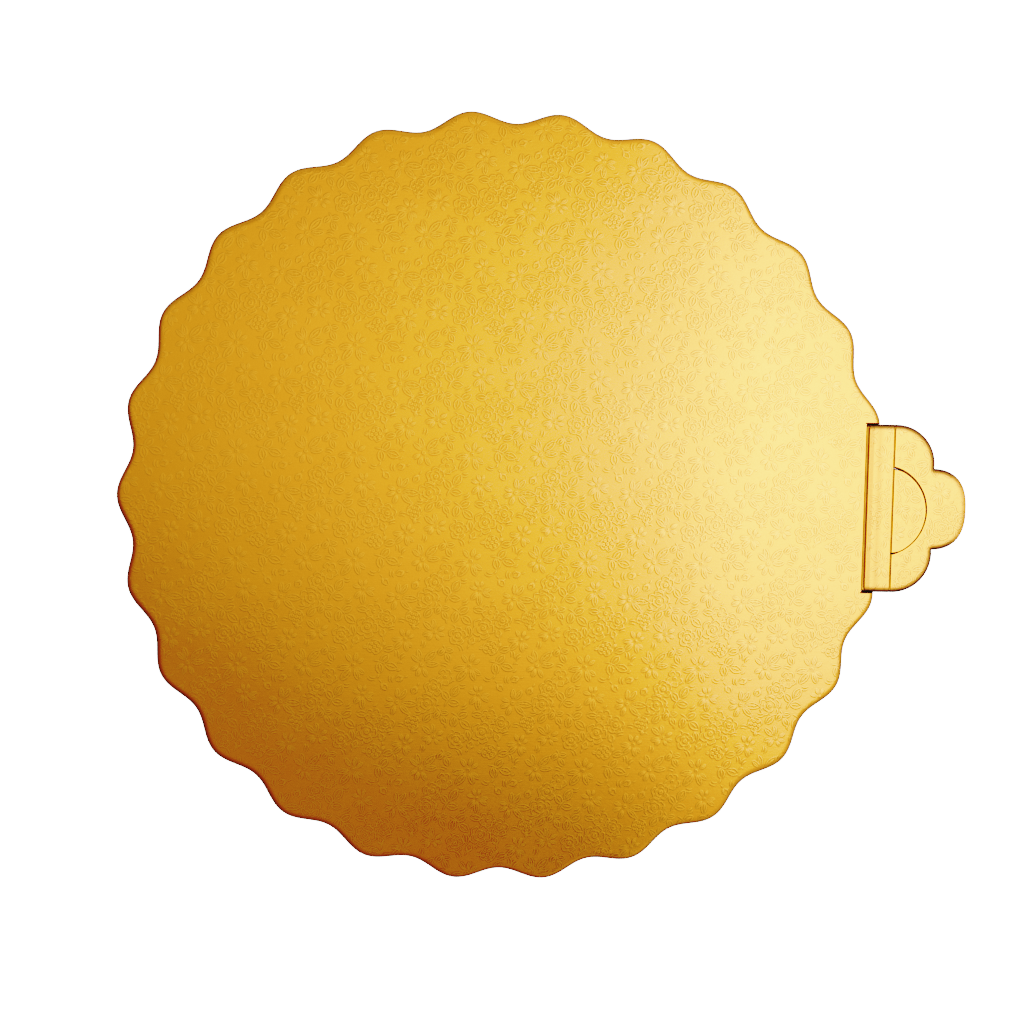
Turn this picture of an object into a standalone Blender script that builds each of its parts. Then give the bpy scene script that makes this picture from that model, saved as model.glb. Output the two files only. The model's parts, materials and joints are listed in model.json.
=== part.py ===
"""Scalloped foil-faced cake board with a folding three-lobed lift tab, in metres, +Z up.

The underside lies on z = 0 and the board's centre is the origin. The tab points along +X.
Four sheets are laminated: backing paper, two greyboard plies and a foil facing rolled over the rim.
Two half-cut creases and a half-moon cut part every sheet into four panels: the board, a band, a
petal flap and a tongue. Positive fold angles about +Y swing the outer panel down.
"""

import math

import bmesh
import bpy
from mathutils import Matrix

MM = 0.001

# Scalloped board outline
MEAN_RADIUS = 124.9 * MM
SCALLOP_COUNT = 26
SCALLOP_SWING = 2.1 * MM
SCALLOP_TURN = math.radians(-0.45)
POINTS_PER_SCALLOP = 12

# Tab outline
TAB_HALF_WIDTH = 28.0 * MM
TAB_ROOT_X = 105.0 * MM
SIDE_LOBE_RADIUS = 13.15 * MM
SIDE_LOBE_X = 129.2 * MM
NOTCH_X = 142.3 * MM
MIDDLE_LOBE_HALF_WIDTH = 13.6 * MM
MIDDLE_LOBE_X = 141.0 * MM
MIDDLE_LOBE_REACH = 12.5 * MM
MIDDLE_LOBE_FULLNESS = 2.5
LOBE_STEPS = 12

# Creases, slits and the half-moon cut
CREASE_1_X = 119.3 * MM
CREASE_1_WIDTH = 1.15 * MM
CREASE_2_X = 128.4 * MM
CREASE_2_WIDTH = 0.56 * MM
HINGE_GAP = 0.04 * MM
SLIT_WIDTH = 0.4 * MM
SLIT_OVERCUT = 0.8 * MM
HALF_MOON_CENTRE = (124.9 * MM, -0.74 * MM)
HALF_MOON_RADIUS = 14.95 * MM
HALF_MOON_KERF = 0.3 * MM
HALF_MOON_STEPS = 22
TONGUE_ROOT_HALF_WIDTH = 13.95 * MM
TONGUE_EASE_LENGTH = 2.5 * MM

# Sheets, from the table up: paper, greyboard, greyboard, foil facing
THICKNESS = 2.0 * MM
GLUE_LINE = 0.02 * MM
BACKING_TOP = 0.15 * MM
CORE_SPLIT = 1.0 * MM
FACING_THICKNESS = 0.2 * MM
SKIRT_FOOT = 0.45 * MM
BOARD_ROLL = 1.5 * MM
TAB_ROLL = 0.6 * MM
ROLL_STEPS = 3

# How far cutters run past the sheets
CUTTER_FOOT = -0.3 * MM
CUTTER_HEAD = 2.2 * MM
FAR = 40.0 * MM

SHARP_ANGLE = math.radians(35.0)

# Base colour, metallic and roughness of each sheet
LOOKS = {
    "backing_paper": ((0.80, 0.77, 0.70), 0.0, 0.75),
    "core_lower_ply": ((0.30, 0.25, 0.19), 0.0, 0.90),
    "core_upper_ply": ((0.33, 0.27, 0.20), 0.0, 0.90),
    "foil_facing": ((0.80, 0.50, 0.11), 1.0, 0.32),
}


def clear_file():
    """Remove whatever the new file starts with."""
    for obj in list(bpy.data.objects):
        bpy.data.objects.remove(obj)


def arc_points(centre, radius, start, end, steps):
    """Points on an arc, both ends included."""
    points = []
    for step in range(steps + 1):
        angle = start + (end - start) * step / steps
        points.append((centre[0] + radius * math.cos(angle), centre[1] + radius * math.sin(angle)))
    return points


def board_outline():
    """A circle whose radius swings once per scallop."""
    count = SCALLOP_COUNT * POINTS_PER_SCALLOP
    points = []
    for index in range(count):
        angle = 2.0 * math.pi * index / count + SCALLOP_TURN
        phase = 2.0 * math.pi * index / POINTS_PER_SCALLOP
        radius = MEAN_RADIUS + SCALLOP_SWING * math.cos(phase)
        points.append((radius * math.cos(angle), radius * math.sin(angle)))
    return points


def middle_lobe_points():
    """The tip lobe: half of a superellipse, from its lower notch to its upper one."""
    points = []
    for step in range(2 * LOBE_STEPS + 1):
        angle = math.pi * (step / (2 * LOBE_STEPS) - 0.5)
        along = math.cos(angle) ** (2.0 / MIDDLE_LOBE_FULLNESS)
        across = math.copysign(abs(math.sin(angle)) ** (2.0 / MIDDLE_LOBE_FULLNESS), angle)
        x = MIDDLE_LOBE_X + MIDDLE_LOBE_REACH * along
        if x >= NOTCH_X:
            points.append((x, MIDDLE_LOBE_HALF_WIDTH * across))
    return points


def tab_outline():
    """The tab as if it ran on under the board: a straight-sided root and three lobes."""
    half = TAB_HALF_WIDTH - SLIT_WIDTH / 2.0
    centre_y = half - SIDE_LOBE_RADIUS
    notch_turn = -math.asin((centre_y - MIDDLE_LOBE_HALF_WIDTH) / SIDE_LOBE_RADIUS)
    upper = arc_points(
        (SIDE_LOBE_X, centre_y), SIDE_LOBE_RADIUS, notch_turn, math.pi / 2.0, LOBE_STEPS
    )
    lower = [(x, -y) for x, y in reversed(upper)]
    return [(TAB_ROOT_X, -half)] + lower + middle_lobe_points() + upper + [(TAB_ROOT_X, half)]


def inset_outline(points, distance):
    """Every edge moved in by the same distance, corners mitred. Points run anticlockwise."""
    count = len(points)
    moved = []
    for index in range(count):
        before = points[index - 1]
        here = points[index]
        after = points[(index + 1) % count]
        first = unit_normal(before, here)
        second = unit_normal(here, after)
        scale = distance / (1.0 + first[0] * second[0] + first[1] * second[1])
        moved.append(
            (here[0] + scale * (first[0] + second[0]), here[1] + scale * (first[1] + second[1]))
        )
    return moved


def unit_normal(start, end):
    """Unit vector to the left of the line from start to end."""
    run = end[0] - start[0]
    rise = end[1] - start[1]
    length = math.hypot(run, rise)
    return (-rise / length, run / length)


def at_height(points, z):
    """Plan points lifted to one height."""
    return [(x, y, z) for x, y in points]


def loft(rings):
    """A closed solid through rings of equal length, the first and last capped."""
    work = bmesh.new()
    loops = [[work.verts.new(point) for point in ring] for ring in rings]
    count = len(loops[0])
    for lower, upper in zip(loops, loops[1:]):
        for index in range(count):
            following = (index + 1) % count
            work.faces.new((lower[index], lower[following], upper[following], upper[index]))
    work.faces.new(loops[0])
    work.faces.new(loops[-1])
    bmesh.ops.recalc_face_normals(work, faces=work.faces)
    return work


def roll_profile(roll, thickness):
    """Inset and height down the rolled rim, for the surface this far inside the outer one."""
    profile = []
    for step in range(ROLL_STEPS + 1):
        angle = math.pi / 2.0 * (1.0 - step / ROLL_STEPS)
        inset = roll - (roll - thickness) * math.cos(angle)
        height = THICKNESS - roll + (roll - thickness) * math.sin(angle)
        profile.append((inset, height))
    return profile


def facing_blank(outline, roll):
    """The foil facing: a flat sheet whose rim rolls over into a short skirt."""
    inner = roll_profile(roll, FACING_THICKNESS)
    outer = roll_profile(roll, 0.0)
    inner.append((FACING_THICKNESS, SKIRT_FOOT))
    outer.append((0.0, SKIRT_FOOT))
    profile = inner + outer[::-1]
    return loft([at_height(inset_outline(outline, inset), z) for inset, z in profile])


def core_profile(roll):
    """Inset and height down the edge of the core, one glue line inside the facing."""
    profile = roll_profile(roll, FACING_THICKNESS + GLUE_LINE)
    profile.append((FACING_THICKNESS + GLUE_LINE, 0.0))
    return profile


def inset_at(profile, height):
    """The inset of a falling profile at one height."""
    for (high_inset, high), (low_inset, low) in zip(profile, profile[1:]):
        if low <= height <= high:
            share = (height - low) / (high - low)
            return low_inset + share * (high_inset - low_inset)
    return profile[0][0]


def core_blank(outline, roll, foot, head):
    """A greyboard ply whose edge follows the inside of the facing."""
    profile = core_profile(roll)
    knees = [height for _, height in profile if foot < height < head]
    heights = [foot] + sorted(knees) + [head]
    rings = []
    for height in heights:
        rings.append(at_height(inset_outline(outline, inset_at(profile, height)), height))
    return loft(rings)


def backing_blank(outline):
    """The paper under the board, level with the core's edge."""
    points = inset_outline(outline, FACING_THICKNESS)
    return loft([at_height(points, 0.0), at_height(points, BACKING_TOP)])


def sheet_blanks(outline, roll):
    """The four sheets of one outline before they are cut into panels."""
    return {
        "backing_paper": backing_blank(outline),
        "core_lower_ply": core_blank(
            outline, roll, BACKING_TOP + GLUE_LINE, CORE_SPLIT - GLUE_LINE / 2.0
        ),
        "core_upper_ply": core_blank(
            outline,
            roll,
            CORE_SPLIT + GLUE_LINE / 2.0,
            THICKNESS - FACING_THICKNESS - GLUE_LINE,
        ),
        "foil_facing": facing_blank(outline, roll),
    }


def groove_half_width(width, z):
    """Half the width of a V groove at a height: full at the top face, a hinge gap at the bottom."""
    return (HINGE_GAP + (width - HINGE_GAP) * z / THICKNESS) / 2.0


def tab_opening(z):
    """What the tab's slits and first crease take out of the board."""
    crease = CREASE_1_X - groove_half_width(CREASE_1_WIDTH, z)
    overcut = CREASE_1_X - SLIT_OVERCUT
    inner = TAB_HALF_WIDTH - SLIT_WIDTH / 2.0
    outer = TAB_HALF_WIDTH + SLIT_WIDTH / 2.0
    far = CREASE_1_X + FAR
    upper = [(far, outer), (overcut, outer), (overcut, inner), (crease, inner)]
    return upper + [(x, -y) for x, y in reversed(upper)]


def band_region(z):
    """The strip between the two creases."""
    left = CREASE_1_X + groove_half_width(CREASE_1_WIDTH, z)
    right = CREASE_2_X - groove_half_width(CREASE_2_WIDTH, z)
    return [(left, -FAR), (right, -FAR), (right, FAR), (left, FAR)]


def half_moon_arc(x, radius):
    """The half-moon cut to the right of x, from its lower end to its upper one."""
    reach = math.acos((x - HALF_MOON_CENTRE[0]) / radius)
    return arc_points(HALF_MOON_CENTRE, radius, -reach, reach, HALF_MOON_STEPS)


def tongue_region(z):
    """Inside the half-moon cut, its root corners eased so that they clear the flap as it folds."""
    left = CREASE_2_X + groove_half_width(CREASE_2_WIDTH, z)
    arc = half_moon_arc(CREASE_2_X + TONGUE_EASE_LENGTH, HALF_MOON_RADIUS - HALF_MOON_KERF / 2.0)
    lower_root = (left, HALF_MOON_CENTRE[1] - TONGUE_ROOT_HALF_WIDTH)
    upper_root = (left, HALF_MOON_CENTRE[1] + TONGUE_ROOT_HALF_WIDTH)
    return [lower_root] + arc + [upper_root]


def petal_region(z):
    """Everything past the second crease except the half-moon."""
    left = CREASE_2_X + groove_half_width(CREASE_2_WIDTH, z)
    bite = half_moon_arc(left, HALF_MOON_RADIUS + HALF_MOON_KERF / 2.0)
    far = CREASE_2_X + FAR
    return [(left, -FAR), (far, -FAR), (far, FAR), (left, FAR)] + bite[::-1]


def new_object(name, work, looks=None):
    """An object from a bmesh, with its own material when looks are given."""
    mesh = bpy.data.meshes.new(name)
    for face in work.faces:
        face.smooth = True
    for edge in work.edges:
        edge.smooth = edge.calc_face_angle(math.pi) < SHARP_ANGLE
    work.to_mesh(mesh)
    work.free()
    obj = bpy.data.objects.new(name, mesh)
    bpy.context.scene.collection.objects.link(obj)
    if looks:
        colour, metallic, roughness = looks
        material = bpy.data.materials.new(name)
        material.use_nodes = True
        shader = material.node_tree.nodes["Principled BSDF"]
        shader.inputs["Base Color"].default_value = (*colour, 1.0)
        shader.inputs["Metallic"].default_value = metallic
        shader.inputs["Roughness"].default_value = roughness
        material.diffuse_color = (*colour, 1.0)
        mesh.materials.append(material)
    return obj


def new_cutter(name, region):
    """A hidden solid between a region's plan at the cutter's foot and at its head."""
    rings = [at_height(region(z), z) for z in (CUTTER_FOOT, CUTTER_HEAD)]
    cutter = new_object(name, loft(rings))
    cutter.hide_render = True
    cutter.display_type = "WIRE"
    return cutter


def new_hinge(name, x, parent=None):
    """An empty on a fold line, in the plane of the underside."""
    hinge = bpy.data.objects.new(name, None)
    bpy.context.scene.collection.objects.link(hinge)
    hinge.parent = parent
    hinge.location = (x - (CREASE_1_X if parent else 0.0), 0.0, 0.0)
    return hinge


def cut_panel(panel, outline, roll, cutter, operation, hinge=None, hinge_x=0.0):
    """The four sheets of one panel, cut to shape and hung on the panel's hinge."""
    for sheet, work in sheet_blanks(outline, roll).items():
        node = new_object(panel + "_" + sheet, work, LOOKS[sheet])
        if hinge:
            node.data.transform(Matrix.Translation((-hinge_x, 0.0, 0.0)))
            node.parent = hinge
        cut = node.modifiers.new("cut_to_panel", "BOOLEAN")
        cut.operation = operation
        cut.solver = "EXACT"
        cut.object = cutter


def main():
    clear_file()
    band_hinge = new_hinge("band_hinge", CREASE_1_X)
    petal_hinge = new_hinge("petal_hinge", CREASE_2_X, band_hinge)
    tongue_hinge = new_hinge("tongue_hinge", CREASE_2_X, band_hinge)
    opening = new_cutter("tab_opening_cutter", tab_opening)
    band = new_cutter("band_cutter", band_region)
    petal = new_cutter("petal_cutter", petal_region)
    tongue = new_cutter("tongue_cutter", tongue_region)
    tab = tab_outline()
    cut_panel("board", board_outline(), BOARD_ROLL, opening, "DIFFERENCE")
    cut_panel("band", tab, TAB_ROLL, band, "INTERSECT", band_hinge, CREASE_1_X)
    cut_panel("petal_flap", tab, TAB_ROLL, petal, "INTERSECT", petal_hinge, CREASE_2_X)
    cut_panel("tongue", tab, TAB_ROLL, tongue, "INTERSECT", tongue_hinge, CREASE_2_X)


main()
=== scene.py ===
"""The cake board's finished look: embossed gold foil over greyboard and paper, with light and camera.

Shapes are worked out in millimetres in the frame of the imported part, and become metres when a
mesh is stored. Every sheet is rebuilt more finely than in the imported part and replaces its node.
"""

import json
import math

import bmesh
import bpy
import numpy as np
from mathutils import Euler, Matrix


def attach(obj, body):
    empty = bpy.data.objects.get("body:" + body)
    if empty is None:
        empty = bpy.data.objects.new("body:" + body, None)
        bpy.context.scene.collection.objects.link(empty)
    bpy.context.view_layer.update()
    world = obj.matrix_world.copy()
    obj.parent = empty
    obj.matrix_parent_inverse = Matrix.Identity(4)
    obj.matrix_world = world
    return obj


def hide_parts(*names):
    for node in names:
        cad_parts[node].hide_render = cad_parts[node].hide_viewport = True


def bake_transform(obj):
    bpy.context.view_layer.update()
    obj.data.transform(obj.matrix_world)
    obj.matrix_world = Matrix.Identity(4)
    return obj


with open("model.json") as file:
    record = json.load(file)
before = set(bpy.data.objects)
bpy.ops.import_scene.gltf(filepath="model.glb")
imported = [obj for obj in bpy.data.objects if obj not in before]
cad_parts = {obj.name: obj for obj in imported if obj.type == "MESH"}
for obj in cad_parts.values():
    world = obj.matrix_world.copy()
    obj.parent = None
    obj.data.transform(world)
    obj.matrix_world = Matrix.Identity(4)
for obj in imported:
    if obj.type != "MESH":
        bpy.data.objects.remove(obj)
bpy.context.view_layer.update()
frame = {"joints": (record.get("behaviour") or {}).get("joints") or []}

MM = 0.001

# Scalloped outline of the board
MEAN_RADIUS = 124.9
SCALLOPS = 26
SCALLOP_SWING = 2.1
SCALLOP_TURN = math.radians(-0.45)
POINTS_PER_SCALLOP = 32

# Outline of the lift tab
TAB_HALF_WIDTH = 28.0
TAB_ROOT = 105.0
SIDE_LOBE_RADIUS = 13.15
SIDE_LOBE_X = 129.2
NOTCH_X = 142.3
MIDDLE_LOBE_HALF_WIDTH = 13.6
MIDDLE_LOBE_X = 141.0
MIDDLE_LOBE_REACH = 12.5
MIDDLE_LOBE_FULLNESS = 2.5
LOBE_STEPS = 44

# Creases, slits and the half-moon cut
FOLDS = {joint["name"]: joint["pos_m"][0] / MM for joint in frame["joints"]}
CREASE_1 = FOLDS["band_fold"]
CREASE_2 = FOLDS["petal_fold"]
CREASE_1_WIDTH = 1.15
CREASE_2_WIDTH = 0.56
HINGE_GAP = 0.04
SLIT = 0.4
SLIT_FOOT = 0.02
SLIT_OVERCUT = 0.8
MOON_X = 124.9
MOON_Y = -0.74
MOON_RADIUS = 14.95
MOON_KERF = 0.5
MOON_FOOT = 0.02
MOON_BIAS = 0.4
MOON_STEPS = 64
TONGUE_EASE = 2.5
TONGUE_EASE_DEPTH = 0.42
OVERCUT_TAPER = 0.3
CUT_REACH = 40.0
CUTTER_LEVELS = (-0.3, -0.01, 2.2)

# Thicknesses and heights of the sheets
TOP = 2.0
FACING = 0.2
GLUE = 0.02
BACKING = 0.15
PLY_SPLIT = 1.0

# The facing's rolled rim: width and drop of the roll, its skirt, and the rings on the flat beside it
BOARD_ROLL = (2.3, 1.5)
TAB_ROLL = (0.75, 0.6)
SKIRT_FOOT = 0.45
ROLL_STEPS = 9
FLAT_RINGS = (1.6, 0.4)
ARRIS_ANGLE = 40.0

# What creasing does to the foil beside a groove: depth and width of a shoulder
BOARD_SHOULDER = (0.07, 0.55)
BAND_SHOULDER = (0.12, 0.5)
NARROW_SHOULDER = (0.05, 0.35)
SHOULDER_FADE = 0.8
LIP_HEIGHT = 0.06
LIP_PLACE = 0.9
LIP_WIDTH = 0.75
NEAR_TOP = 0.02

# Extra cuts in the foil, at these distances from a groove's side
BOARD_CUTS = (0.14, 0.28, 0.42, 0.56)
BAND_CUTS = (0.12, 0.25, 0.38, 0.5, 0.8, 1.1, 1.5, 2.0, 2.8)
NARROW_CUTS = (0.1, 0.2, 0.35)

# Strips of foil in the creases: height of their sides, and how far their middles sink
BAND_STRIP = (1.86, 0.4)
NARROW_STRIP = (1.93, 0.3)
STRIP_THICKNESS = 0.06
STRIP_SIDE_GAP = 0.02
STRIP_FOOT = 0.9
STRIP_ROUNDNESS = 2.4
STRIP_ACROSS = 9
STRIP_ALONG = 24
STRIP_FADE = 0.9
STRIP_END_DEPTH = 0.35
STRIP_END_GAP = 0.85
PETAL_STRIP_GAP = 0.05
TONGUE_STRIP_GAP = 0.75

# Pressed pattern: its lines, its repeat, and how its motifs are scattered
STROKE_STEP = 0.6
LINE_WIDTH = 0.88
LINE_HEIGHT = 0.115
TAB_LINE_SHARE = 0.9
LINE_SINK = 0.012
LINE_TAPER = 0.6
LINE_END_SHARE = 0.35
LINE_MARGIN = 0.04
LINE_CLEARANCE = LINE_WIDTH / 2.0 + LINE_MARGIN
BOARD_RIM_CLEARANCE = 0.6
TAB_RIM_CLEARANCE = 0.5
TONGUE_RELIEF_MARGIN = 0.1
REPEAT = (38.2, 34.9)
REPEAT_COLUMNS = range(-5, 6)
REPEAT_ROWS = range(-5, 5)
PATTERN_SEED = 20
SCATTER_TRIES = 1200
MOTIF_SPACING = 0.84
STEM_HALF_GAP = 0.42
STEM_OVERLAP = 0.95
STEM_BULGE = 0.25
STEMS_EACH = 2
SHORTEST_STEM = 1.0
SMALLEST_JOINED = 1.5

# The roller pressed fully towards the back right, and less and less towards the front left
PRESS_GROWTH = (0.8, 1.2)
PRESS_LENGTH = 300.0
PRESS_LEAST = 0.45

# Marks on the foil's points, which its material reads
FOOT_MARK = -1.0
SHEET_MARK = 0.3
CREST_MARK = 1.0
RIM_GAP_LIMIT = 5.0

# Bake layout: lowest corner, width, and where downward faces are kept
LAYOUT_CORNER = -135.0
LAYOUT_WIDTH = 310.0
DOWNWARD_SCALE = 0.08
DOWNWARD_PLACE = 0.91
DOWNWARD_LIMIT = -0.01


# ---------------------------------------------------------------- outlines


def board_outline():
    """A circle whose radius swings once per scallop, run anticlockwise."""
    angle = np.arange(SCALLOPS * POINTS_PER_SCALLOP) * 2.0 * math.pi / (SCALLOPS * POINTS_PER_SCALLOP)
    radius = MEAN_RADIUS + SCALLOP_SWING * np.cos(SCALLOPS * angle)
    turned = angle + SCALLOP_TURN
    return np.stack([radius * np.cos(turned), radius * np.sin(turned)], axis=1)


def arc(centre, radius, start, end, steps):
    """Points on an arc, both ends included."""
    angle = np.linspace(start, end, steps + 1)
    return np.stack([centre[0] + radius * np.cos(angle), centre[1] + radius * np.sin(angle)], axis=1)


def middle_lobe():
    """The tip lobe: half of a superellipse between its two notches."""
    angle = np.linspace(-math.pi / 2.0, math.pi / 2.0, 2 * LOBE_STEPS + 1)
    power = 2.0 / MIDDLE_LOBE_FULLNESS
    x = MIDDLE_LOBE_X + MIDDLE_LOBE_REACH * np.cos(angle) ** power
    y = MIDDLE_LOBE_HALF_WIDTH * np.sign(angle) * np.abs(np.sin(angle)) ** power
    return np.stack([x, y], axis=1)[x >= NOTCH_X]


def tab_outline():
    """The tab as if it ran on under the board: a straight-sided root and three lobes."""
    half = TAB_HALF_WIDTH - SLIT_FOOT / 2.0
    centre_y = half - SIDE_LOBE_RADIUS
    notch = -math.asin((centre_y - MIDDLE_LOBE_HALF_WIDTH) / SIDE_LOBE_RADIUS)
    upper = arc((SIDE_LOBE_X, centre_y), SIDE_LOBE_RADIUS, notch, math.pi / 2.0, LOBE_STEPS)
    lower = upper[::-1] * (1.0, -1.0)
    return np.vstack([[(TAB_ROOT, -half)], lower, middle_lobe(), upper, [(TAB_ROOT, half)]])


def inset(points, distance):
    """Every edge moved in by the same distance, corners mitred."""
    run = np.roll(points, -1, axis=0) - points
    normal = np.stack([-run[:, 1], run[:, 0]], axis=1) / np.hypot(run[:, 0], run[:, 1])[:, None]
    before = np.roll(normal, 1, axis=0)
    return points + distance * (before + normal) / (1.0 + (before * normal).sum(1))[:, None]


BOARD = board_outline()
TAB = tab_outline()


# ---------------------------------------------------------------- solids


def mesh_object(name, points, faces):
    """An object from points and from faces given as lists of point numbers."""
    mesh = bpy.data.meshes.new(name)
    mesh.from_pydata(points, [], faces)
    mesh.update()
    obj = bpy.data.objects.new(name, mesh)
    bpy.context.scene.collection.objects.link(obj)
    return obj


def loft(name, rings):
    """A closed solid through rings of (plan points, height)."""
    return skin(name, [np.column_stack([plan, np.full(len(plan), z)]) for plan, z in rings])


def skin(name, rings):
    """A closed solid through rings of points, both ends capped."""
    count = len(rings[0])
    here = np.arange(count)
    following = (here + 1) % count
    faces = [here[::-1].tolist()]
    for level in range(len(rings) - 1):
        low = level * count
        quads = np.stack([here + low, following + low, following + low + count, here + low + count], axis=1)
        faces.extend(quads.tolist())
    faces.append((here + (len(rings) - 1) * count).tolist())
    return mesh_object(name, np.vstack(rings).tolist(), faces)


def roll_profile(roll, depth):
    """Inset and height down the rolled rim, for the surface this far under the outer one."""
    width, drop = roll
    profile = []
    for step in range(ROLL_STEPS + 1):
        angle = math.pi / 2.0 * (1.0 - step / ROLL_STEPS)
        inward = width - (width - depth) * math.cos(angle)
        profile.append((inward, TOP - drop + (drop - depth) * math.sin(angle)))
    return profile


def facing_blank(outline, roll):
    """The foil facing: a flat sheet whose rim rolls over into a short skirt."""
    inner = roll_profile(roll, FACING) + [(FACING, SKIRT_FOOT)]
    outer = roll_profile(roll, 0.0) + [(0.0, SKIRT_FOOT)]
    outer = [(roll[0] + margin, TOP) for margin in FLAT_RINGS] + outer
    profile = inner + outer[::-1]
    return loft("facing", [(inset(outline, inward), z) for inward, z in profile])


def core_inset(roll, height):
    """How far the core's edge stands in from the outline at a height."""
    profile = roll_profile(roll, FACING + GLUE)[::-1]
    heights = [z for _, z in profile]
    insets = [inward for inward, _ in profile]
    return float(np.interp(height, heights, insets))


def core_blank(outline, roll, foot, head):
    """A greyboard ply whose edge follows the inside of the facing."""
    knees = [z for _, z in roll_profile(roll, FACING + GLUE) if foot < z < head]
    heights = [foot] + sorted(knees) + [head]
    return loft("core", [(inset(outline, core_inset(roll, z)), z) for z in heights])


def backing_blank(outline):
    """The paper under the board, level with the inside of the facing's skirt."""
    plan = inset(outline, FACING)
    return loft("backing", [(plan, 0.0), (plan, BACKING)])


def lower_ply_blank(outline, roll):
    return core_blank(outline, roll, BACKING + GLUE, PLY_SPLIT - GLUE / 2.0)


def upper_ply_blank(outline, roll):
    return core_blank(outline, roll, PLY_SPLIT + GLUE / 2.0, TOP - FACING - GLUE)


# ---------------------------------------------------------------- cutters


def groove(width, z):
    """Half the width of a V groove at a height: full at the top, a hinge gap at the bottom."""
    return wedge(HINGE_GAP, width, z) / 2.0


def wedge(foot, head, z):
    """Width of a knife cut at a height, wider at the top than at the bottom."""
    return foot + (head - foot) * max(z, 0.0) / TOP


def tab_opening(z):
    """What the slits and the first crease take out of the board."""
    crease = CREASE_1 - groove(CREASE_1_WIDTH, z)
    overcut = CREASE_1 - SLIT_OVERCUT + OVERCUT_TAPER / 2.0 - wedge(0.0, OVERCUT_TAPER, z)
    inner = TAB_HALF_WIDTH
    outer = TAB_HALF_WIDTH + wedge(SLIT_FOOT, SLIT, z)
    far = CREASE_1 + CUT_REACH
    upper = [(far, outer), (overcut, outer), (overcut, inner), (crease, inner)]
    return np.array(upper + [(x, -y) for x, y in reversed(upper)])


def band_region(z):
    left = CREASE_1 + groove(CREASE_1_WIDTH, z)
    right = CREASE_2 - groove(CREASE_2_WIDTH, z)
    return np.array([(left, -CUT_REACH), (right, -CUT_REACH), (right, CUT_REACH), (left, CUT_REACH)])


def moon_arc(x, side, z):
    """One side of the half-moon cut to the right of x, upwards. The knife bit wider at the top."""
    bite = wedge(MOON_FOOT, MOON_KERF, z) - MOON_FOOT

    def radius_at(angle):
        return MOON_RADIUS + side / 2.0 * (MOON_FOOT + bite * (1.0 + MOON_BIAS * np.sin(angle)))

    # The radius depends on the angle, so the ends settle in a few rounds
    ends = np.array([-1.0, 1.0])
    for _ in range(6):
        ends = np.sign(ends) * np.arccos((x - MOON_X) / radius_at(ends))
    angle = np.linspace(*ends, MOON_STEPS + 1)
    radius = radius_at(angle)
    return np.stack([MOON_X + radius * np.cos(angle), MOON_Y + radius * np.sin(angle)], axis=1)


def tongue_region(z):
    """Inside the half-moon cut, with its root corners eased so that they clear the flap."""
    left = CREASE_2 + groove(CREASE_2_WIDTH, z)
    edge = moon_arc(left, -1.0, z)
    near_root = np.clip(1.0 - (edge[:, 0] - left) / TONGUE_EASE, 0.0, 1.0)
    edge[:, 1] -= np.sign(edge[:, 1] - MOON_Y) * near_root * wedge(0.0, TONGUE_EASE_DEPTH, z)
    return edge


def petal_region(z):
    """Everything past the second crease except the half-moon."""
    left = CREASE_2 + groove(CREASE_2_WIDTH, z)
    far = CREASE_2 + CUT_REACH
    corners = [(left, -CUT_REACH), (far, -CUT_REACH), (far, CUT_REACH), (left, CUT_REACH)]
    return np.vstack([corners, moon_arc(left, 1.0, z)[::-1]])


def cut(obj, region, operation):
    """Cut a blank with the solid that a region sweeps from below the sheets to above them."""
    cutter = loft("cutter", [(region(z), z) for z in CUTTER_LEVELS])
    modifier = obj.modifiers.new("cut", "BOOLEAN")
    modifier.operation = operation
    modifier.solver = "EXACT"
    modifier.object = cutter
    graph = bpy.context.evaluated_depsgraph_get()
    mesh = bpy.data.meshes.new_from_object(obj.evaluated_get(graph))
    blank = obj.data
    obj.modifiers.clear()
    obj.data = mesh
    bpy.data.meshes.remove(blank)
    bpy.data.meshes.remove(cutter.data)
    return obj


# ---------------------------------------------------------------- height of the foil


def rim_distance(panel, x, y):
    """How far inside the outer rim of a panel each point lies."""
    if panel == "board":
        angle = np.arctan2(y, x) - SCALLOP_TURN
        radius = MEAN_RADIUS + SCALLOP_SWING * np.cos(SCALLOPS * angle)
        slope = -SCALLOPS * SCALLOP_SWING * np.sin(SCALLOPS * angle) / radius
        return (radius - np.hypot(x, y)) / np.sqrt(1.0 + slope**2)
    start = TAB
    run = np.roll(TAB, -1, axis=0) - TAB
    offset_x = x[:, None] - start[None, :, 0]
    offset_y = y[:, None] - start[None, :, 1]
    share = (offset_x * run[:, 0] + offset_y * run[:, 1]) / (run**2).sum(1)
    share = np.clip(share, 0.0, 1.0)
    gap = np.hypot(offset_x - share * run[:, 0], offset_y - share * run[:, 1])
    return gap.min(1)


def top_height(panel, x, y):
    """Height of the foil's outer surface, before the pattern is pressed."""
    width, drop = BOARD_ROLL if panel == "board" else TAB_ROLL
    toward_edge = np.clip(1.0 - rim_distance(panel, x, y) / width, 0.0, 1.0)
    height = TOP - drop * (1.0 - np.sqrt(1.0 - toward_edge**2))
    return height + crease_shape(panel, x, y)


def shoulder(gap, size):
    """How far the foil dips at a distance from a groove's side."""
    depth, width = size
    return depth * np.clip(1.0 - gap / width, 0.0, 1.0) ** 2


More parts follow.
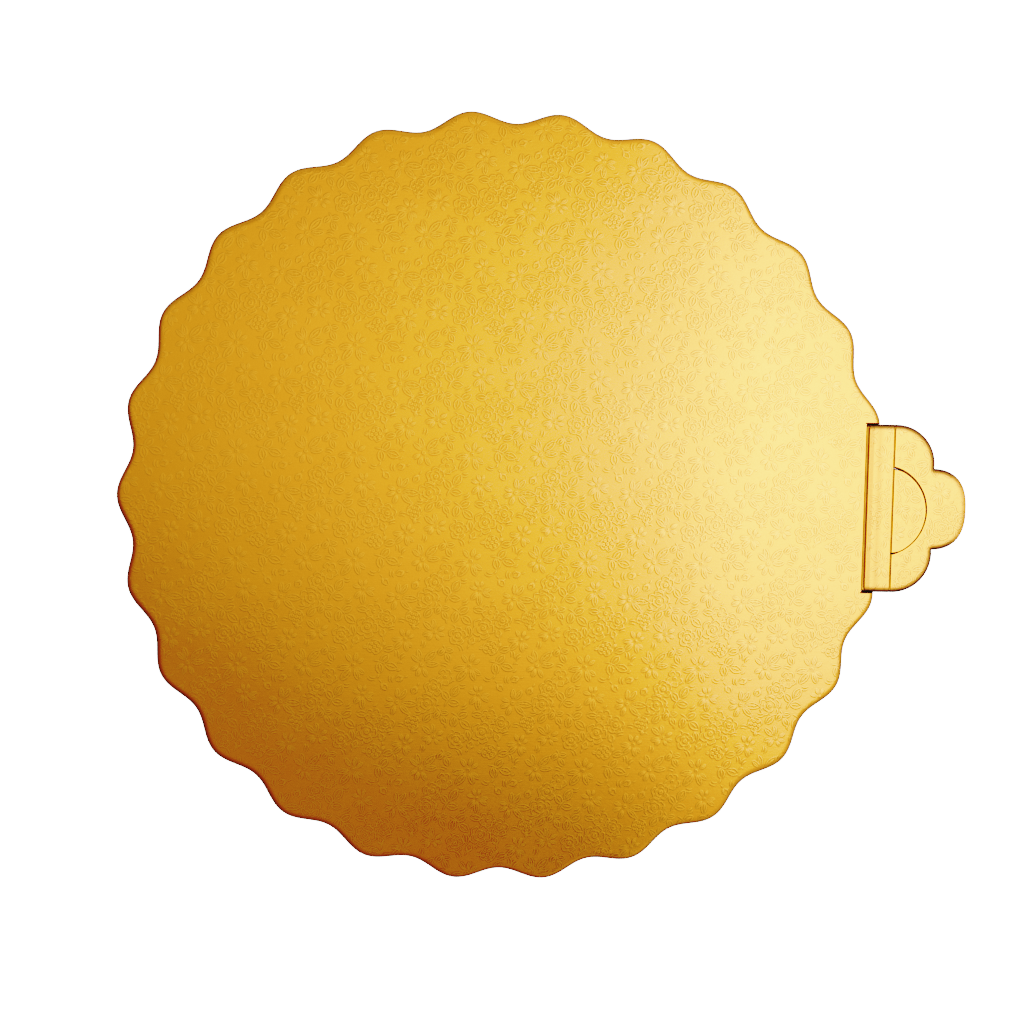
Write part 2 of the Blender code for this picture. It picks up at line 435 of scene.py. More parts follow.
def crease_shape(panel, x, y):
    """Shoulders that creasing leaves beside the grooves, and the lip it pushes up."""
    if panel == "board":
        along = np.clip((TAB_HALF_WIDTH + SHOULDER_FADE / 2.0 - np.abs(y)) / SHOULDER_FADE, 0.0, 1.0)
        return -shoulder(CREASE_1 - CREASE_1_WIDTH / 2.0 - x, BOARD_SHOULDER) * along
    if panel == "band":
        gap = x - CREASE_1 - CREASE_1_WIDTH / 2.0
        lip = LIP_HEIGHT * np.exp(-(((gap - LIP_PLACE) / LIP_WIDTH) ** 2))
        dip = shoulder(gap, BAND_SHOULDER) + shoulder(CREASE_2 - CREASE_2_WIDTH / 2.0 - x, NARROW_SHOULDER)
        return lip - dip
    return -shoulder(x - CREASE_2 - CREASE_2_WIDTH / 2.0, NARROW_SHOULDER)


# ---------------------------------------------------------------- pressed pattern


def sweep(a, b, bulge):
    """A curve from a to b that bows to its left by a share of its length."""
    middle = (a + b) / 2.0 + 2.0 * 1j * (b - a) * bulge
    steps = max(4, int(abs(b - a) * (1.0 + 2.0 * bulge * bulge) / STROKE_STEP) + 1)
    t = np.linspace(0.0, 1.0, steps)
    return (1.0 - t) ** 2 * a + 2.0 * t * (1.0 - t) * middle + t**2 * b


def placed(strokes, angle, shift=0j):
    """Strokes turned about the origin, then moved."""
    return [stroke * np.exp(1j * angle) + shift for stroke in strokes]


def leaf(length, width=0.24, veins=0):
    """An outlined leaf along the real axis, with a midrib and side veins."""
    tip = length + 0j
    strokes = [sweep(0j, tip, width), sweep(0j, tip, -width), sweep(0.06 * tip, 0.8 * tip, 0.03)]
    for vein in range(veins):
        root = length * (0.28 + 0.26 * vein)
        for side in (1j, -1j):
            strokes.append(sweep(root + 0j, root + length * (0.13 + 0.62 * width * side), 0.1))
    return strokes


def star_leaf(radius):
    """Veined leaves fanned round one point, longer to one side."""
    strokes = [ring(0.08 * radius)]
    for index, share in enumerate((1.0, 0.8, 0.72, 0.62, 0.66, 0.7, 0.84)):
        turn = 2.0 * math.pi * index / 7.0 + 0.2 * math.sin(2.4 * index)
        veins = 2 if share > 0.75 else 1
        start = 0.2 * radius * np.exp(1j * turn)
        strokes += placed(leaf((share - 0.2) * radius, 0.19, veins), turn, start)
        strokes.append(sweep(0.5 * start, start, 0.1))
    return strokes


def petal_ring(radius, count, turn, depth):
    """Overlapping petal edges round a centre, each rolled in at its ends."""
    strokes = []
    for index in range(count):
        middle = turn + 2.0 * math.pi * index / count + 0.16 * math.sin(3.0 * index + radius)
        t = np.linspace(-1.0, 1.0, 5 + int(radius * 8.0 / count))
        wave = 0.05 * np.sin(7.0 * t + index)
        reach = radius * (1.0 - depth * t**4 + wave)
        strokes.append(reach * np.exp(1j * (middle + t * math.pi / count * 1.06)))
    return strokes


def rose(radius):
    """A curled heart inside two rings of petals."""
    t = np.linspace(0.0, 1.35 * 2.0 * math.pi, 13)
    strokes = [radius * (0.06 + 0.026 * t) * np.exp(1j * t)]
    strokes += petal_ring(0.56 * radius, 4, 0.4, 0.3)
    strokes += petal_ring(radius, 5, 1.1, 0.42)
    for index in range(5):
        spoke = np.exp(1j * (1.1 + 2.0 * math.pi * (index + 0.2 * math.sin(5.0 * index)) / 5.0))
        strokes.append(sweep(0.66 * radius * spoke, 0.86 * radius * spoke, 0.15))
    return strokes


def blossom(radius):
    """Five round petals, each with a crease, round a small ring."""
    strokes = petal_ring(radius, 5, 0.0, 0.5)
    for index in range(5):
        spoke = np.exp(2j * math.pi * index / 5.0)
        strokes.append(sweep(0.38 * radius * spoke, 0.7 * radius * spoke, 0.1))
    strokes.append(ring(0.2 * radius))
    return strokes


def ring(radius):
    return radius * np.exp(1j * np.linspace(0.0, 2.0 * math.pi, 8))


def seed_head(radius):
    """A round head of small rings with a leaf on either side."""
    strokes = [ring(0.14 * radius)]
    for index in range(6):
        strokes.append(0.42 * radius * np.exp(2j * math.pi * index / 6.0) + ring(0.13 * radius))
    strokes += petal_ring(0.72 * radius, 6, 0.5, 0.3)
    strokes += placed(leaf(0.5 * radius, 0.26), 0.5, 0.72 * radius)
    strokes += placed(leaf(0.5 * radius, 0.26), 2.6, -0.72 * radius + 0.1j)
    return strokes


def bud(radius):
    """A closed bud on its stalk, with two sepals."""
    base = -0.3 * radius + 0j
    tip = radius + 0j
    strokes = [sweep(-radius + 0j, base, 0.1), sweep(base, tip, 0.3), sweep(base, tip, -0.3)]
    strokes.append(sweep(base, 0.3 * radius + 0.7j * radius, -0.25))
    strokes.append(sweep(base, 0.3 * radius - 0.7j * radius, 0.25))
    return strokes


def sprig(radius):
    """A stalk with three leaves."""
    strokes = [sweep(-radius + 0j, 0j, 0.08)]
    strokes += placed(leaf(radius, 0.28, 1), 0.0)
    strokes += placed(leaf(0.9 * radius, 0.28), 1.15, -0.35 * radius)
    strokes += placed(leaf(0.9 * radius, 0.28), -1.15, -0.5 * radius)
    return strokes


def leaflet(radius):
    return placed(leaf(2.0 * radius, 0.26), 0.0, -radius)


def curl(radius):
    return [sweep(-radius + 0j, radius + 0j, 0.32)]


def twin_curl(radius):
    return [sweep(-radius + 0.4j, radius + 0.4j, 0.2), sweep(-radius - 0.45j, 0.7 * radius - 0.45j, 0.2)]


# Motifs of one repeat, largest first: shape, radius, how many
MOTIFS = (
    (star_leaf, 6.6, 3),
    (rose, 3.5, 2),
    (star_leaf, 5.2, 3),
    (rose, 2.9, 3),
    (sprig, 4.3, 5),
    (seed_head, 3.3, 2),
    (blossom, 2.6, 2),
    (sprig, 3.2, 9),
    (bud, 2.3, 7),
    (leaflet, 1.9, 14),
    (twin_curl, 1.35, 24),
    (curl, 0.95, 50),
)


def wrapped(gap):
    """The shortest way between two places of the repeat."""
    x = (gap.real + REPEAT[0] / 2.0) % REPEAT[0] - REPEAT[0] / 2.0
    y = (gap.imag + REPEAT[1] / 2.0) % REPEAT[1] - REPEAT[1] / 2.0
    return x + 1j * y


def has_room(spot, radius, places):
    """Whether a motif's place is far enough from the ones already taken."""
    return all(
        abs(wrapped(spot - other)) > MOTIF_SPACING * (radius + reach)
        for other, reach in places
    )


def repeat_strokes():
    """Every stroke of one repeat: motifs scattered close together, then joined by stems."""
    draw = np.random.default_rng(PATTERN_SEED)
    places = []
    strokes = []
    for shape, radius, wanted in MOTIFS:
        left = wanted
        for _ in range(SCATTER_TRIES):
            if left == 0:
                break
            spot = draw.uniform(0.0, REPEAT[0]) + 1j * draw.uniform(0.0, REPEAT[1])
            if has_room(spot, radius, places):
                strokes += placed(shape(radius), draw.uniform(0.0, 2.0 * math.pi), spot)
                places.append((spot, radius))
                left -= 1
    large = [(spot, reach) for spot, reach in places if reach > SMALLEST_JOINED]
    for index, (spot, reach) in enumerate(large):
        gaps = sorted(
            (abs(wrapped(other - spot)) - reach - far, number)
            for number, (other, far) in enumerate(large)
            if number != index
        )
        for gap, number in gaps[:STEMS_EACH]:
            if gap < SHORTEST_STEM:
                continue
            step = wrapped(large[number][0] - spot)
            start = spot + step / abs(step) * reach * STEM_OVERLAP
            end = spot + step - step / abs(step) * large[number][1] * STEM_OVERLAP
            bulge = draw.uniform(-STEM_BULGE, STEM_BULGE)
            side = 1j * STEM_HALF_GAP * step / abs(step)
            strokes.append(sweep(start + side, end + side, bulge))
            strokes.append(sweep(start - side, end - side, bulge))
    return strokes


def inside_relief(panel, x, y):
    """Where the pattern may stand on a panel."""
    if panel == "board":
        clear = rim_distance(panel, x, y) > BOARD_RIM_CLEARANCE
        beside_tab = np.abs(y) < TAB_HALF_WIDTH + SLIT + LINE_CLEARANCE
        at_tab = x > CREASE_1 - SLIT_OVERCUT - LINE_CLEARANCE
        return clear & ~(beside_tab & at_tab)
    clear = rim_distance(panel, x, y) > TAB_RIM_CLEARANCE
    from_moon = np.hypot(x - MOON_X, y - MOON_Y)
    moon_clearance = MOON_KERF * (1.0 + MOON_BIAS) / 2.0 + LINE_CLEARANCE
    if panel == "band":
        clear &= x > CREASE_1 + CREASE_1_WIDTH / 2.0 + LINE_CLEARANCE
        return clear & (x < CREASE_2 - CREASE_2_WIDTH / 2.0 - LINE_CLEARANCE)
    clear &= x > CREASE_2 + CREASE_2_WIDTH / 2.0 + LINE_CLEARANCE
    if panel == "tongue":
        return clear & (from_moon < MOON_RADIUS - moon_clearance - TONGUE_RELIEF_MARGIN)
    return clear & (from_moon > MOON_RADIUS + moon_clearance)


def inside_tab(x, y):
    """Whether each point lies within the tab's outline."""
    start = TAB
    end = np.roll(TAB, -1, axis=0)
    crosses = (start[:, 1] > y[:, None]) != (end[:, 1] > y[:, None])
    rise = np.where(end[:, 1] == start[:, 1], 1.0, end[:, 1] - start[:, 1])
    at = start[:, 0] + (y[:, None] - start[:, 1]) * (end[:, 0] - start[:, 0]) / rise
    return ((crosses & (x[:, None] < at)).sum(1) % 2) == 1


def runs(mask):
    """Start and end of every run of at least three true values."""
    edges = np.flatnonzero(np.diff(np.concatenate([[0], mask.astype(np.int8), [0]])))
    return [(a, b) for a, b in zip(edges[::2], edges[1::2]) if b - a >= 3]


def pattern_lines(panel, strokes):
    """The repeat laid over a panel, cut back to where the pattern may stand."""
    lengths = [len(stroke) for stroke in strokes]
    ends = np.cumsum(lengths)
    starts = ends - lengths
    joined = np.concatenate(strokes)
    lines = []
    for column in REPEAT_COLUMNS:
        for row in REPEAT_ROWS:
            moved = joined + column * REPEAT[0] + 1j * row * REPEAT[1]
            x, y = moved.real, moved.imag
            if panel == "board":
                if np.hypot(x, y).min() > MEAN_RADIUS + SCALLOP_SWING:
                    continue
                mask = inside_relief(panel, x, y)
            else:
                near = (x > CREASE_1) & (np.abs(y) < TAB_HALF_WIDTH)
                mask = np.zeros(len(x), bool)
                if near.any():
                    mask[near] = inside_tab(x[near], y[near]) & inside_relief(panel, x[near], y[near])
            if not mask.any():
                continue
            for start, end in zip(starts, ends):
                for first, last in runs(mask[start:end]):
                    lines.append(moved[start + first : start + last])
    return lines


def ridges(panel, lines, height):
    """Points and faces of low ridges, and the marks of their points.

    The roller pressed less deeply towards the front left.
    """
    points, quads, triangles, crest = [], [], [], []
    total = 0
    for line in lines:
        count = len(line)
        along = np.gradient(line)
        side = 1j * along / np.maximum(np.abs(along), 1e-9)
        length = np.concatenate([[0.0], np.cumsum(np.abs(np.diff(line)))])
        taper = np.clip(np.minimum(length, length[-1] - length) / LINE_TAPER, LINE_END_SHARE, 1.0)
        growth = (PRESS_GROWTH[0] * line.real + PRESS_GROWTH[1] * line.imag) / PRESS_LENGTH
        press = np.clip(1.0 + growth, PRESS_LEAST, 1.0)
        reach = side * LINE_WIDTH / 2.0 * taper
        plan = np.stack([line + reach, line, line - reach], axis=1).ravel()
        low = np.full(count, -LINE_SINK)
        lift = np.stack([low, height * taper * press, low], axis=1)
        points.append(np.stack([plan.real, plan.imag, lift.ravel()], axis=1))
        crest.append(np.tile([FOOT_MARK, CREST_MARK, FOOT_MARK], count))
        k = total + 3 * np.arange(count - 1)
        for a, b, c, d in ((0, 1, 4, 3), (1, 2, 5, 4), (0, 3, 5, 2)):
            quads.append(np.stack([k + a, k + b, k + c, k + d], axis=1))
        last = total + 3 * (count - 1)
        triangles += [(total, total + 2, total + 1), (last, last + 1, last + 2)]
        total += 3 * count
    points = np.vstack(points)
    points[:, 2] += top_height(panel, points[:, 0], points[:, 1])
    return points, np.vstack(quads).tolist() + triangles, np.concatenate(crest)


# ---------------------------------------------------------------- pieces


def slice_facing(obj, panel):
    """Give the foil extra cuts beside the creases, then press in their shoulders."""
    work = bmesh.new()
    work.from_mesh(obj.data)
    groove_1 = CREASE_1_WIDTH / 2.0
    groove_2 = CREASE_2_WIDTH / 2.0
    if panel == "board":
        fade = SHOULDER_FADE / 2.0
        cuts = [(CREASE_1 - groove_1 - gap, 0.0) for gap in BOARD_CUTS]
        cuts += [(0.0, side * (TAB_HALF_WIDTH + extra)) for side in (-1, 1) for extra in (-fade, fade)]
    elif panel == "band":
        cuts = [(CREASE_1 + groove_1 + gap, 0.0) for gap in BAND_CUTS]
        cuts += [(CREASE_2 - groove_2 - gap, 0.0) for gap in NARROW_CUTS]
    else:
        cuts = [(CREASE_2 + groove_2 + gap, 0.0) for gap in NARROW_CUTS]
    for x, y in cuts:
        normal = (1.0, 0.0, 0.0) if x else (0.0, 1.0, 0.0)
        geometry = work.verts[:] + work.edges[:] + work.faces[:]
        bmesh.ops.bisect_plane(work, geom=geometry, dist=1e-5, plane_co=(x, y, 0.0), plane_no=normal)
    for vert in work.verts:
        if vert.co.z > TOP - NEAR_TOP:
            x, y = np.array([vert.co.x]), np.array([vert.co.y])
            vert.co.z += float(crease_shape(panel, x, y)[0])
    work.to_mesh(obj.data)
    work.free()


def mesh_arrays(mesh):
    """Points of a mesh as an array, and its faces as lists."""
    points = np.empty(len(mesh.vertices) * 3, np.float32)
    mesh.vertices.foreach_get("co", points)
    faces = [list(polygon.vertices) for polygon in mesh.polygons]
    return points.reshape(-1, 3).astype(float), faces


def store_shade(obj, name, values):
    attribute = obj.data.attributes.new(name, "FLOAT", "POINT")
    attribute.data.foreach_set("value", np.asarray(values, np.float32))


def finish_mesh(obj, material):
    """Metres, smooth shading with crisp arrises, and a material."""
    obj.data.transform(Matrix.Scale(MM, 4))
    obj.data.shade_smooth()
    obj.data.set_sharp_from_angle(angle=math.radians(ARRIS_ANGLE))
    obj.data.materials.clear()
    obj.data.materials.append(material)
    obj.data.update()


def stand_for(obj, panel, node):
    """The piece rides on its panel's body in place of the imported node."""
    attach(obj, panel)
    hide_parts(node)


def foil_piece(panel, outline, roll, region, operation, strokes, material):
    """The gold facing of one panel with its pattern pressed in."""
    blank = cut(facing_blank(outline, roll), region, operation)
    slice_facing(blank, panel)
    points, faces = mesh_arrays(blank.data)
    bpy.data.meshes.remove(blank.data)
    height = LINE_HEIGHT if panel == "board" else TAB_LINE_SHARE * LINE_HEIGHT
    ridge_points, ridge_faces, crest = ridges(panel, pattern_lines(panel, strokes), height)
    offset = len(points)
    shifted = [[offset + index for index in face] for face in ridge_faces]
    everything = np.vstack([points, ridge_points])
    obj = mesh_object(panel + "_gold_foil", everything.tolist(), faces + shifted)
    store_shade(obj, "crest", np.concatenate([np.full(offset, SHEET_MARK), crest]))
    distance = rim_distance(panel, everything[:, 0], everything[:, 1])
    store_shade(obj, "rim_gap", np.clip(distance, 0.0, RIM_GAP_LIMIT))
    finish_mesh(obj, material)
    bake_layout(obj)
    stand_for(obj, panel, panel + "_foil_facing")


def sheet_piece(panel, sheet, blank, region, operation, material):
    """A core ply or the backing paper of one panel."""
    obj = cut(blank, region, operation)
    obj.name = panel + "_" + sheet + "_sheet"
    obj.data.name = obj.name
    finish_mesh(obj, material)
    stand_for(obj, panel, panel + "_" + sheet)


def crease_strip(name, crease, size, start, end, material):
    """The foil that runs on across a crease, dipping into its groove and rising at its ends."""
    x, width = crease
    head, depth = size
    shares = np.linspace(-1.0, 1.0, STRIP_ACROSS)
    half = groove(width, head) - STRIP_SIDE_GAP
    fades = STRIP_FADE * np.array([0.0, 0.3, 0.65, 1.0])
    middle = np.linspace(start + STRIP_FADE, end - STRIP_FADE, STRIP_ALONG)[1:-1]
    rings = []
    for y in np.concatenate([start + fades, middle, end - fades[::-1]]):
        rise = min(1.0, (y - start) / STRIP_FADE, (end - y) / STRIP_FADE)
        sink = depth * (STRIP_END_DEPTH + (1.0 - STRIP_END_DEPTH) * rise)
        z = head - sink * (1.0 - np.abs(shares) ** STRIP_ROUNDNESS)
        station = np.full(STRIP_ACROSS, y)
        upper = np.column_stack([x + half * shares, station, z])
        lower = np.column_stack([x + STRIP_FOOT * half * shares, station, z - STRIP_THICKNESS])
        rings.append(np.vstack([upper, lower[::-1]]))
    obj = skin(name, rings)
    finish_mesh(obj, material)
    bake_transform(obj)


def crease_strips(material):
    """One strip across the first crease, three across the second."""
    wide = (CREASE_1, CREASE_1_WIDTH)
    narrow = (CREASE_2, CREASE_2_WIDTH)
    half = TAB_HALF_WIDTH - STRIP_END_GAP
    crease_strip("band_crease_foil", wide, BAND_STRIP, -half, half, material)
    root = math.sqrt(MOON_RADIUS**2 - (CREASE_2 - MOON_X) ** 2)
    outside = root + PETAL_STRIP_GAP
    inside = root - TONGUE_STRIP_GAP
    stretches = (
        ("upper_crease_foil", MOON_Y + outside, half, "petal_flap"),
        ("lower_crease_foil", -half, MOON_Y - outside, "petal_flap"),
        ("tongue_crease_foil", MOON_Y - inside, MOON_Y + inside, "tongue"),
    )
    for name, start, end, panel in stretches:
        crease_strip(name, narrow, NARROW_STRIP, start, end, material)


def bake_layout(obj):
    """A flat layout seen from above, with downward faces kept apart in a corner."""
    layer = obj.data.uv_layers.new(name="OFBake")
    count = len(obj.data.loops)
    corner = np.empty(count, np.int32)
    obj.data.loops.foreach_get("vertex_index", corner)
    points = np.empty(len(obj.data.vertices) * 3, np.float32)
    obj.data.vertices.foreach_get("co", points)
    place = (points.reshape(-1, 3)[corner, :2] - LAYOUT_CORNER * MM) / (LAYOUT_WIDTH * MM)
    down = np.zeros(count, bool)
    for polygon in obj.data.polygons:
        if polygon.normal.z < DOWNWARD_LIMIT:
            down[polygon.loop_start : polygon.loop_start + polygon.loop_total] = True
    place[down] = place[down] * DOWNWARD_SCALE + DOWNWARD_PLACE
    layer.data.foreach_set("uv", place.ravel().astype(np.float32))


# ---------------------------------------------------------------- materials


def node(tree, kind, **values):
    """A shader node with some of its inputs or properties set."""
    made = tree.nodes.new(kind)
    for key, value in values.items():
        if hasattr(made, key):
            setattr(made, key, value)
        else:
            made.inputs[key.replace("_", " ")].default_value = value
    return made


def new_material(name):
    material = bpy.data.materials.new(name)
    material.use_nodes = True
    tree = material.node_tree
    return material, tree, tree.nodes["Principled BSDF"]


def scaled_place(tree, scale):
    """Object coordinates in millimetres, scaled along each axis."""
    coordinates = node(tree, "ShaderNodeTexCoord")
    mapping = node(tree, "ShaderNodeMapping")
    mapping.inputs["Scale"].default_value = [1000.0 * value for value in scale]
    tree.links.new(coordinates.outputs["Object"], mapping.inputs["Vector"])
    return mapping.outputs["Vector"]


def noise(tree, scale, detail=3.0, roughness=0.5):
    """Noise whose cells measure 1 / scale millimetres along each axis."""
    made = node(tree, "ShaderNodeTexNoise", Detail=detail, Roughness=roughness, Scale=1.0)
    tree.links.new(scaled_place(tree, scale), made.inputs["Vector"])
    return made.outputs["Fac"]


def ramp(tree, value, low, high, out_low, out_high):
    made = node(tree, "ShaderNodeMapRange", From_Min=low, From_Max=high, To_Min=out_low, To_Max=out_high)
    tree.links.new(value, made.inputs["Value"])
    return made.outputs["Result"]


def mix(tree, factor, first, second):
    made = node(tree, "ShaderNodeMix", data_type="RGBA")
    set_input(tree, made.inputs[0], factor)
    set_input(tree, made.inputs[6], first)
    set_input(tree, made.inputs[7], second)
    return made.outputs[2]


def set_input(tree, socket, value):
    if isinstance(value, bpy.types.NodeSocket):
        tree.links.new(value, socket)
    elif isinstance(value, tuple) and len(value) == 3:
        socket.default_value = (*value, 1.0)
    else:
        socket.default_value = value


def maths(tree, operation, first, second=0.0):
    made = node(tree, "ShaderNodeMath", operation=operation)
    set_input(tree, made.inputs[0], first)
    set_input(tree, made.inputs[1], second)
    return made.outputs[0]


def bump(tree, height, distance_mm, normal=None):
    made = node(tree, "ShaderNodeBump", Strength=1.0, Distance=distance_mm * MM)
    tree.links.new(height, made.inputs["Height"])
    if normal:
        tree.links.new(normal, made.inputs["Normal"])
    return made.outputs["Normal"]


def split_axes(tree, vector):
    split = node(tree, "ShaderNodeSeparateXYZ")
    tree.links.new(vector, split.inputs["Vector"])
    return [split.outputs[axis] for axis in "XYZ"]


def shade(tree, name):
    return node(tree, "ShaderNodeAttribute", attribute_name=name).outputs["Fac"]


FOIL_TINT = (1.0, 0.495, 0.137)
FOIL_DEEP = (0.93, 0.43, 0.105)
# Painted highlight on the pattern's crests
FOIL_CREST_HIGHLIGHT = (1.0, 0.6, 0.24)
# Painted shade at the pattern's feet
FOIL_FOOT_SHADE = (0.27, 0.18, 0.045)
# Painted shade in bands beside the first crease
FOIL_CREASE_SHADE = (0.42, 0.185, 0.05)
CUT_EDGE = (0.2, 0.1, 0.04)
# Painted shade of foil down in a crease, in darker and paler streaks
CREASE_SHADE_DARK = (0.34, 0.19, 0.065)
CREASE_SHADE_PALE = (0.48, 0.27, 0.095)

# Painted shade at the pattern's feet on the board grows from one place across to another, by these shares
FEET_SHADE_ACROSS = (-110.0, 0.0, 0.15, 0.78)

# Painted shade along the tab's rim fades from one place across to another, by these shares
TIP_SHADE_FADE = (147.5, 152.5, 1.0, 0.6)

# Painted shade along the rim of each foil: colour, how far in it reaches, how sharply it ends, how strong
# it is
BOARD_RIM_SHADE = ((0.22, 0.11, 0.055), 1.3, 2.4, 0.95)
TAB_RIM_SHADE = ((0.07, 0.045, 0.027), 1.6, 4.0, 0.99)

# Depth of the foil's mottled grain, as shares of the usual one
BOARD_GRAIN = 0.7
TAB_GRAIN = 1.6

# Greyboard and lining paper
PULP_DARK = (0.27, 0.17, 0.09)
PULP_PALE = (0.42, 0.28, 0.16)
PULP_FLECK = (0.30, 0.19, 0.11)
PAPER_DARK = (0.72, 0.69, 0.62)
PAPER_PALE = (0.86, 0.84, 0.78)
PAPER_FIBRE = (0.58, 0.52, 0.43)
LOWER_PLY_LIGHT = 1.0
UPPER_PLY_LIGHT = 1.12

# How strongly painted shade darkens the foil at distances right of the first crease: distance, share
CREASE_SHADE_BANDS = (
    (0.0, 0.1),
    (0.25, 0.0),
    (0.42, 0.6),
    (1.5, 0.48),
    (1.7, 0.08),
    (2.4, 0.12),
    (3.5, 0.4),
    (5.2, 0.0),
)


def curve(tree, value, places):
    """A value read off a line through a few places."""
    width = places[-1][0]
    made = node(tree, "ShaderNodeValToRGB")
    stops = made.color_ramp.elements
    stops[0].position = 0.0
    stops[1].position = 1.0
    for at, _ in places[1:-1]:
        stops.new(at / width)
    for stop, (_, level) in zip(stops, places):
        stop.color = (level, level, level, 1.0)
    tree.links.new(maths(tree, "DIVIDE", value, width), made.inputs["Fac"])
    return made.outputs["Color"]


def across(tree):
    """The x coordinate in millimetres."""
    return split_axes(tree, scaled_place(tree, (1.0, 1.0, 1.0)))[0]


def foil_material(name, rim, grain, on_tab):
    """Satin gold foil: fine rolled lines, a mottled grain, painted highlights on the pattern's crests,
    painted shade at its feet and painted shade along the rim.

    On the tab the foil has painted shade in bands past the first crease, and the painted shade at the feet
    of its pattern is equally dark.
    """
    material, tree, shader = new_material(name)
    drift = ramp(tree, noise(tree, (0.03, 0.05, 0.03), 2.0), 0.3, 0.7, 0.0, 0.35)
    tint = mix(tree, drift, FOIL_TINT, FOIL_DEEP)
    line = shade(tree, "crest")
    # Painted highlight: the pattern's crests are tinted paler
    tint = mix(tree, ramp(tree, line, SHEET_MARK + 0.1, CREST_MARK, 0.0, 0.6), tint, FOIL_CREST_HIGHLIGHT)
    # Painted shade at the pattern's feet, on the board stronger towards the right
    feet_shade_share = 1.0 if on_tab else ramp(tree, across(tree), *FEET_SHADE_ACROSS)
    foot = maths(tree, "MULTIPLY", ramp(tree, line, FOOT_MARK + 0.3, SHEET_MARK - 0.1, 1.0, 0.0), feet_shade_share)
    tint = mix(tree, foot, tint, FOIL_FOOT_SHADE)
    mottle = noise(tree, (1.1, 1.4, 1.1), 4.0, 0.6)
    if on_tab:
        # Painted shade in bands right of the first crease
        past = maths(tree, "SUBTRACT", across(tree), CREASE_1 + CREASE_1_WIDTH / 2.0)
        tint = mix(tree, curve(tree, past, CREASE_SHADE_BANDS), tint, FOIL_CREASE_SHADE)
        tint = mix(tree, ramp(tree, mottle, 0.48, 0.66, 0.0, 0.45), tint, FOIL_DEEP)
    # Painted shade along the rim, darkest at the very edge
    colour, reach, sharpness, strength = rim
    edge = maths(tree, "POWER", maths(tree, "DIVIDE", shade(tree, "rim_gap"), reach), sharpness)
    edge = maths(tree, "EXPONENT", maths(tree, "MULTIPLY", edge, -1.0))
    if on_tab:
        edge = maths(tree, "MULTIPLY", edge, ramp(tree, across(tree), *TIP_SHADE_FADE))
    tint = mix(tree, maths(tree, "MULTIPLY", edge, strength), tint, colour)
    facing = node(tree, "ShaderNodeTexCoord").outputs["Normal"]
    upright = ramp(tree, split_axes(tree, facing)[2], 0.25, 0.5, 1.0, 0.0)
    tint = mix(tree, upright, tint, CUT_EDGE)
    tree.links.new(tint, shader.inputs["Base Color"])
    shader.inputs["Metallic"].default_value = 1.0
    lines = noise(tree, (0.04, 2.4, 0.04), 2.0)
    rough = ramp(tree, mottle, 0.3, 0.7, 0.22, 0.30)
    tree.links.new(rough, shader.inputs["Roughness"])
    normal = bump(tree, lines, 0.015)
    normal = bump(tree, mottle, 0.035 * grain, normal)
    normal = bump(tree, noise(tree, (0.25, 0.3, 0.25), 2.0), 0.03, normal)
    tree.links.new(normal, shader.inputs["Normal"])
    shader.inputs["Coat Weight"].default_value = 0.35
    shader.inputs["Coat Roughness"].default_value = 0.22
    return material


def crease_material():
    """Foil stretched and rougher in a crease, with streaks along it; its dark brown tint is painted shade
    of the groove.
    """
    material, tree, shader = new_material("creased_foil")
    streaks = noise(tree, (3.0, 0.25, 2.0), 4.0, 0.6)
    # The dark tint is painted shade in the groove
    tint = mix(tree, ramp(tree, streaks, 0.35, 0.65, 0.0, 1.0), CREASE_SHADE_DARK, CREASE_SHADE_PALE)
    tree.links.new(tint, shader.inputs["Base Color"])
    shader.inputs["Metallic"].default_value = 1.0
    tree.links.new(ramp(tree, streaks, 0.3, 0.7, 0.42, 0.3), shader.inputs["Roughness"])
    tree.links.new(bump(tree, streaks, 0.03), shader.inputs["Normal"])
    return material


def greyboard_material(name, light):
    """Pressed grey pulp: flattened fibres, flecks and a layered edge."""
    material, tree, shader = new_material(name)
    fibres = noise(tree, (0.5, 2.2, 9.0), 5.0, 0.65)
    flecks = ramp(tree, noise(tree, (2.6, 2.6, 8.0), 2.0), 0.62, 0.72, 0.0, 1.0)
    dark = tuple(light * channel for channel in PULP_DARK)
    pale = tuple(light * channel for channel in PULP_PALE)
    pulp = mix(tree, fibres, dark, pale)
    pulp = mix(tree, maths(tree, "MULTIPLY", flecks, 0.6), pulp, PULP_FLECK)
    tree.links.new(pulp, shader.inputs["Base Color"])
    tree.links.new(ramp(tree, fibres, 0.3, 0.7, 0.82, 0.97), shader.inputs["Roughness"])
    tree.links.new(bump(tree, fibres, 0.05), shader.inputs["Normal"])
    return material


def paper_material(name):
    """Smooth off-white lining paper with faint clouding and stray fibres."""
    material, tree, shader = new_material(name)
    cloud = noise(tree, (0.12, 0.12, 0.12), 4.0, 0.6)
    fibres = noise(tree, (0.7, 5.0, 3.0), 3.0, 0.6)
    sheet = mix(tree, cloud, PAPER_DARK, PAPER_PALE)
    streak = ramp(tree, fibres, 0.66, 0.76, 0.0, 0.45)
    sheet = mix(tree, streak, sheet, PAPER_FIBRE)
    tree.links.new(sheet, shader.inputs["Base Color"])
    tree.links.new(ramp(tree, fibres, 0.3, 0.7, 0.62, 0.8), shader.inputs["Roughness"])
    tree.links.new(bump(tree, fibres, 0.02), shader.inputs["Normal"])
    return material


# ---------------------------------------------------------------- room

CAMERA_PLACE = (-6.43, 8.67, 264.4)
CAMERA_TURN = (-2.54, -1.71, 0.89)
CAMERA_LENS = 28.125
CAMERA_SENSOR = 36.0

FLOOR_DEPTH = 40.0
FLOOR_REACH = 4000.0
FLOOR_GLOW = 6.0
WORLD_GLOW = 7.0

